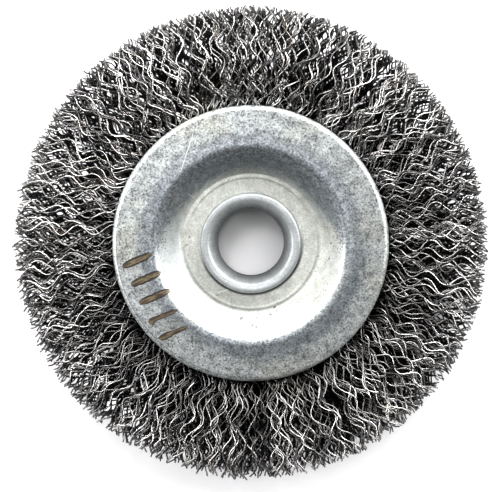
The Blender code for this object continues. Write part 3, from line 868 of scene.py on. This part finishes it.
wireSteel = wireMaterial()
for hank in range(wireLook["hanks"]):
    hankPiece(hank, wireSteel)
print("wires done:", wireLook["hanks"] * wireLook["hairpinsPerHank"] * 2, "legs")


# Table, light and camera: metres and degrees, but the widths of the camera's frame and sensor are in
# millimetres. The glow round the wheel, in the gaps and under the bore each has its own centre.

studio = {
    "tableSize": 6.0, "tableColour": (0.76, 0.76, 0.765), "tableRoughness": 0.9,
    "glowColour": (0.985, 0.98, 1.0),
    "tableGlow": 0.44, "glowCentre": (0.007, -0.007, 0.0), "glowFrom": 0.036, "glowTo": 0.055,
    "gapGlow": 0.66, "gapCentre": (0.006, -0.011, 0.0), "gapFrom": 0.038, "gapTo": 0.051,
    "gapEnd": 0.0553, "gapSoft": 0.002,
    "boreGlow": 0.42, "boreGlowCentre": (-0.0005, -0.0060, 0.0), "boreGlowShape": (1.2, 1.0, 1.0),
    "boreGlowReach": 0.0140,
    "boreShade": 0.22, "boreShadeCentre": (0.0, 0.0105, 0.0), "boreShadeReach": 0.0092,
    "darkSky": 0.02, "brightSky": 0.30, "skyTowards": (-0.45, 0.70, 0.0), "skyFrom": -0.95, "skyTo": 1.0,
    "distance": 0.62, "tiltUp": 4.3, "tiltRight": 1.7, "frameWidth": 122.1, "sensorWidth": 36.0,
    "photoWidth": 500, "aimPixels": (1.0, 3.75),
}

# softboxes: azimuth from +X towards +Y, elevation, distance, width, height, radiance
softboxes = {
    "overhead softbox": (135, 87.0, 0.9, 0.19, 0.19, 11.5),
    "key softbox": (116, 54, 0.9, 0.24, 0.24, 12.5),
    "head softbox": (90, 20, 0.9, 1.50, 0.36, 8.8),
    "left softbox": (164, 22, 0.9, 0.85, 0.30, 9.2),
    "right softbox": (34, 26, 0.9, 0.95, 0.42, 10.6),
}


def tableMaterial():
    # the table shows white round the wheel; its glow, painted light, reaches in under the outer wires and
    # shows in the gaps between them and under the bore, a painted shadow darkens it at the top of the bore,
    # and elsewhere it keeps its shade underneath the wires
    look = studio
    material = bpy.data.materials.new("white table")
    material.use_nodes = True
    tree = material.node_tree
    shader = tree.nodes["Principled BSDF"]
    shader.inputs["Roughness"].default_value = look["tableRoughness"]
    shader.inputs["Specular IOR Level"].default_value = 0.0
    shader.inputs["Emission Color"].default_value = (*look["glowColour"], 1.0)
    place = addNode(tree, "ShaderNodeTexCoord").outputs["Object"]
    # painted shadow on the table at the top of the bore
    away = distanceFrom(tree, place, look["boreShadeCentre"])
    shaded = fade(tree, away, 0.0, look["boreShadeReach"], look["boreShade"], 1.0)
    colour = blendColour(tree, shaded, (0.0, 0.0, 0.0), look["tableColour"])
    away = distanceFrom(tree, place, look["glowCentre"])
    glow = fade(tree, away, look["glowFrom"], look["glowTo"], 0.0, look["tableGlow"])
    # painted light: through the gaps between the wires it shows lighter towards the wheel's edge
    away = distanceFrom(tree, place, look["gapCentre"])
    fromHub = vectorCalc(tree, "LENGTH", place, output="Value")
    inGaps = product(tree, fade(tree, away, look["gapFrom"], look["gapTo"], 0.0, look["gapGlow"]),
                     fade(tree, fromHub, look["gapEnd"] + look["gapSoft"], look["gapEnd"]))
    # painted light: a glow on the table seen through the bore
    offset = vectorCalc(tree, "SUBTRACT", place, look["boreGlowCentre"])
    offset = vectorCalc(tree, "MULTIPLY", offset, look["boreGlowShape"])
    fromBore = vectorCalc(tree, "LENGTH", offset, output="Value")
    inBore = fade(tree, fromBore, look["boreGlowReach"], 0.0, 0.0, look["boreGlow"])
    rays = addNode(tree, "ShaderNodeLightPath").outputs
    seen = calc(tree, "MAXIMUM", rays["Is Camera Ray"], rays["Is Glossy Ray"])
    seen = calc(tree, "MAXIMUM", seen, rays["Is Transmission Ray"])
    glow = total(tree, product(tree, seen, glow),
                 product(tree, rays["Is Camera Ray"], total(tree, inBore, inGaps)))
    # the table's underside has no glow
    back = addNode(tree, "ShaderNodeNewGeometry").outputs["Backfacing"]
    glow = product(tree, glow, calc(tree, "SUBTRACT", 1.0, back))
    linkTo(tree, shader, Base_Color=colour, Emission_Strength=glow)
    return material


def makeTable():
    half = studio["tableSize"] / 2
    mesh = bpy.data.meshes.new("table")
    corners = [(-half, -half, 0), (half, -half, 0), (half, half, 0), (-half, half, 0)]
    mesh.from_pydata(corners, [], [(0, 1, 2, 3)])
    mesh.materials.append(tableMaterial())
    table = bpy.data.objects.new("table", mesh)
    table.location.z = cadBox[0].z
    bpy.context.scene.collection.objects.link(table)


def makeSky():
    # a soft sky, bright towards the picture's top left and dark towards its foot, which the camera sees white
    look = studio
    world = bpy.data.worlds.new("studio")
    bpy.context.scene.world = world
    world.use_nodes = True
    tree = world.node_tree
    backdrop = tree.nodes["Background"]
    way = addNode(tree, "ShaderNodeTexCoord").outputs["Generated"]
    towards = vectorCalc(tree, "DOT_PRODUCT", way, look["skyTowards"], output="Value")
    sky = fade(tree, towards, look["skyFrom"], look["skyTo"], look["darkSky"], look["brightSky"])
    rays = addNode(tree, "ShaderNodeLightPath").outputs
    seen = calc(tree, "MAXIMUM", rays["Is Camera Ray"], rays["Is Transmission Ray"])
    strength = addNode(tree, "ShaderNodeMix", {0: seen, 2: sky, 3: 1.0}, data_type="FLOAT").outputs[0]
    backdrop.inputs["Color"].default_value = (1.0, 1.0, 1.0, 1.0)
    tree.links.new(strength, backdrop.inputs["Strength"])


def makeLamps():
    for name, (azimuth, elevation, distance, width, height, radiance) in softboxes.items():
        turn, rise = math.radians(azimuth), math.radians(elevation)
        lamp = bpy.data.lights.new(name, "AREA")
        lamp.shape, lamp.size, lamp.size_y = "RECTANGLE", width, height
        lamp.energy = radiance * math.pi * width * height
        box = bpy.data.objects.new(name, lamp)
        level = distance * math.cos(rise)
        box.location = (level * math.cos(turn), level * math.sin(turn), distance * math.sin(rise))
        box.rotation_euler = (math.pi / 2 - rise, 0, turn + math.pi / 2)
        box.visible_camera = False
        bpy.context.scene.collection.objects.link(box)


def makeCamera():
    look = studio
    data = bpy.data.cameras.new("camera")
    data.sensor_width = look["sensorWidth"]
    data.lens = data.sensor_width * look["distance"] / (look["frameWidth"] * mm)
    data.clip_start, data.clip_end = 0.01, 20.0
    camera = bpy.data.objects.new("camera", data)
    camera.rotation_euler = (-math.radians(look["tiltUp"]), math.radians(look["tiltRight"]), 0.0)
    # the frame's middle lies this many of the photo's pixels left of the wheel's and below it
    pixel = look["frameWidth"] * mm / look["photoWidth"]
    aim = np.array([-look["aimPixels"][0] * pixel, -look["aimPixels"][1] * pixel, 0.0])
    away = np.array(camera.rotation_euler.to_matrix().col[2])
    camera.location = aim + away * look["distance"]
    bpy.context.scene.collection.objects.link(camera)
    bpy.context.scene.camera = camera


makeTable()
makeSky()
makeLamps()
makeCamera()
bpy.context.scene.view_settings.view_transform = "Standard"
print("table, light and camera done")
